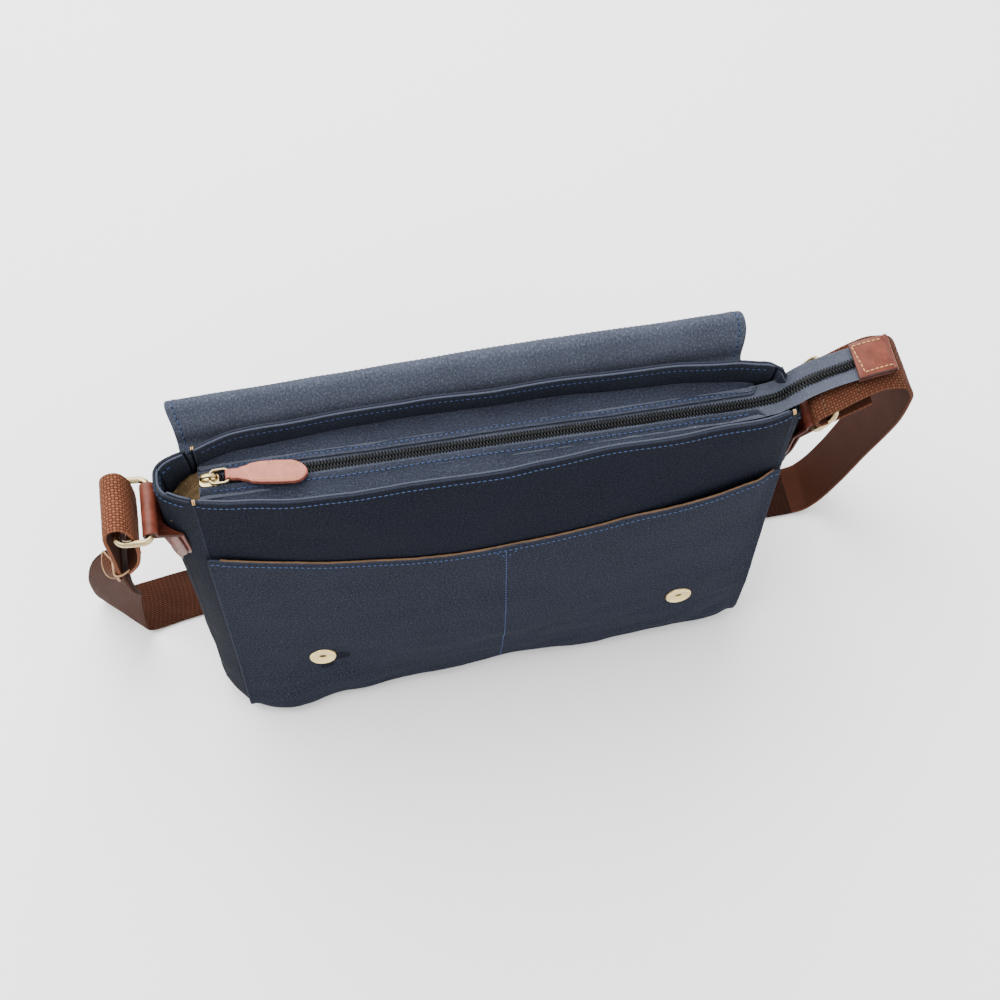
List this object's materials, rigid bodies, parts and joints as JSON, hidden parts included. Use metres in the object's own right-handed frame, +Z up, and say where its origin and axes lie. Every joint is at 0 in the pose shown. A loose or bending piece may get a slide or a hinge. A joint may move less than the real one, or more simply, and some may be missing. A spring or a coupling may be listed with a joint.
{
  "type": "messenger bag",
  "caption": "Soft canvas messenger bag with a zipped top, full-width flap thrown back, slip pocket with magnetic snaps and a webbing shoulder strap on brass rings.",
  "frame": {"origin": "middle of the bag's base, where it stands on the floor", "axes": "+X along the bag's length to the wearer's right seen from the front, +Y towards the back where the flap is sewn, +Z up"},
  "size_m": [0.5484, 0.2446, 0.2605],
  "materials": {
    "canvas_outer": "waxed canvas, tight plain weave",
    "canvas_inner": "canvas, lighter face",
    "lining_cotton": "cotton twill",
    "webbing": "heavy cotton webbing",
    "leather_cognac": "full-grain, satin",
    "leather_pull": "full-grain, pale",
    "suede_edge": "raw edge",
    "zip_tape": "woven tape",
    "zip_coil": "nylon coil",
    "antique_brass": "antique, polished",
    "pale_gold": "polished",
    "steel_plate": "plated"
  },
  "bodies": {
    "bag": {"front_panel": "canvas_outer", "back_panel": "canvas_outer", "gusset_left": "canvas_outer", "gusset_right": "canvas_outer", "base_panel": "canvas_outer", "front_lining": "lining_cotton", "back_lining": "lining_cotton", "gusset_lining_left": "lining_cotton", "gusset_lining_right": "lining_cotton", "base_lining": "lining_cotton", "front_facing": "canvas_inner", "back_facing": "canvas_inner", "gusset_facing_left": "canvas_inner", "gusset_facing_right": "canvas_inner", "pocket_panel": "canvas_outer", "pocket_edge": "suede_edge", "zip_panel_front": "canvas_inner", "zip_panel_back": "canvas_inner", "zip_tape_front": "zip_tape", "zip_tape_back": "zip_tape", "zip_coil_front": "zip_coil", "zip_coil_back": "zip_coil", "zip_end_tab": "leather_cognac", "snap_socket_left": "pale_gold", "snap_socket_right": "pale_gold", "snap_socket_backings": "steel_plate", "flap_seam_strip": "canvas_inner", "ring_tab_left": "leather_cognac", "ring_tab_right": "leather_cognac", "strap_left_loop": "webbing", "strap_left_patch": "leather_cognac", "strap_left_fall": "webbing", "strap_floor": "webbing", "strap_right_fall": "webbing"},
    "flap_1": {"flap_fold": "canvas_inner"},
    "flap_2": {"flap_top": "canvas_inner"},
    "flap_3": {"flap_front_outer": "canvas_outer", "flap_front_lining": "canvas_inner", "snap_stud_left": "pale_gold", "snap_stud_right": "pale_gold"},
    "slider": {"zip_slider": "antique_brass"},
    "pull_ring": {"zip_pull_ring": "antique_brass"},
    "pull": {"zip_pull_leather": "leather_pull"},
    "ring_l": {"ring_left": "antique_brass"},
    "ring_r": {"ring_right": "antique_brass", "strap_right_end": "webbing"}
  },
  "joints": [
    {"name": "flap_bend_1", "type": "hinge", "parent": "bag", "child": "flap_1", "pos_m": [0, 0.035, 0.243], "axis": [1, 0, 0], "range_deg": [0, 48]},
    {"name": "flap_bend_2", "type": "hinge", "parent": "flap_1", "child": "flap_2", "pos_m": [0, 0.05043, 0.26138], "axis": [1, 0, 0], "range_deg": [0, 190]},
    {"name": "flap_bend_3", "type": "hinge", "parent": "flap_2", "child": "flap_3", "pos_m": [0, 0.08763, 0.20185], "axis": [1, 0, 0], "range_deg": [0, 89.4]},
    {"name": "zip_slide", "type": "slide", "parent": "bag", "child": "slider", "axis": [0.9999, -0.012, -0.012], "range_m": [0, 0.27]},
    {"name": "pull_ring_swing", "type": "hinge", "parent": "slider", "child": "pull_ring", "pos_m": [-0.16134, 0.00392, 0.24752], "axis": [0.012, 0.9999, 0], "range_deg": [-120, 0]},
    {"name": "pull_swing", "type": "hinge", "parent": "pull_ring", "child": "pull", "pos_m": [-0.15035, 0.00379, 0.24739], "axis": [0.012, 0.9999, 0], "range_deg": [-40, 0]},
    {"name": "ring_left_swing", "type": "hinge", "parent": "bag", "child": "ring_l", "pos_m": [-0.2, 0, 0.228], "axis": [0, 1, 0], "range_deg": [-30, 15]},
    {"name": "ring_right_swing", "type": "hinge", "parent": "bag", "child": "ring_r", "pos_m": [0.1925, 0, 0.228], "axis": [0, -1, 0], "range_deg": [-30, 0], "deforming": ["strap_right_fall"]}
  ],
  "couplings": [
    {"joint": "flap_bend_1", "follows": "flap_bend_2", "ratio": 0.25263},
    {"joint": "flap_bend_3", "follows": "flap_bend_2", "ratio": 0.47053}
  ]
}
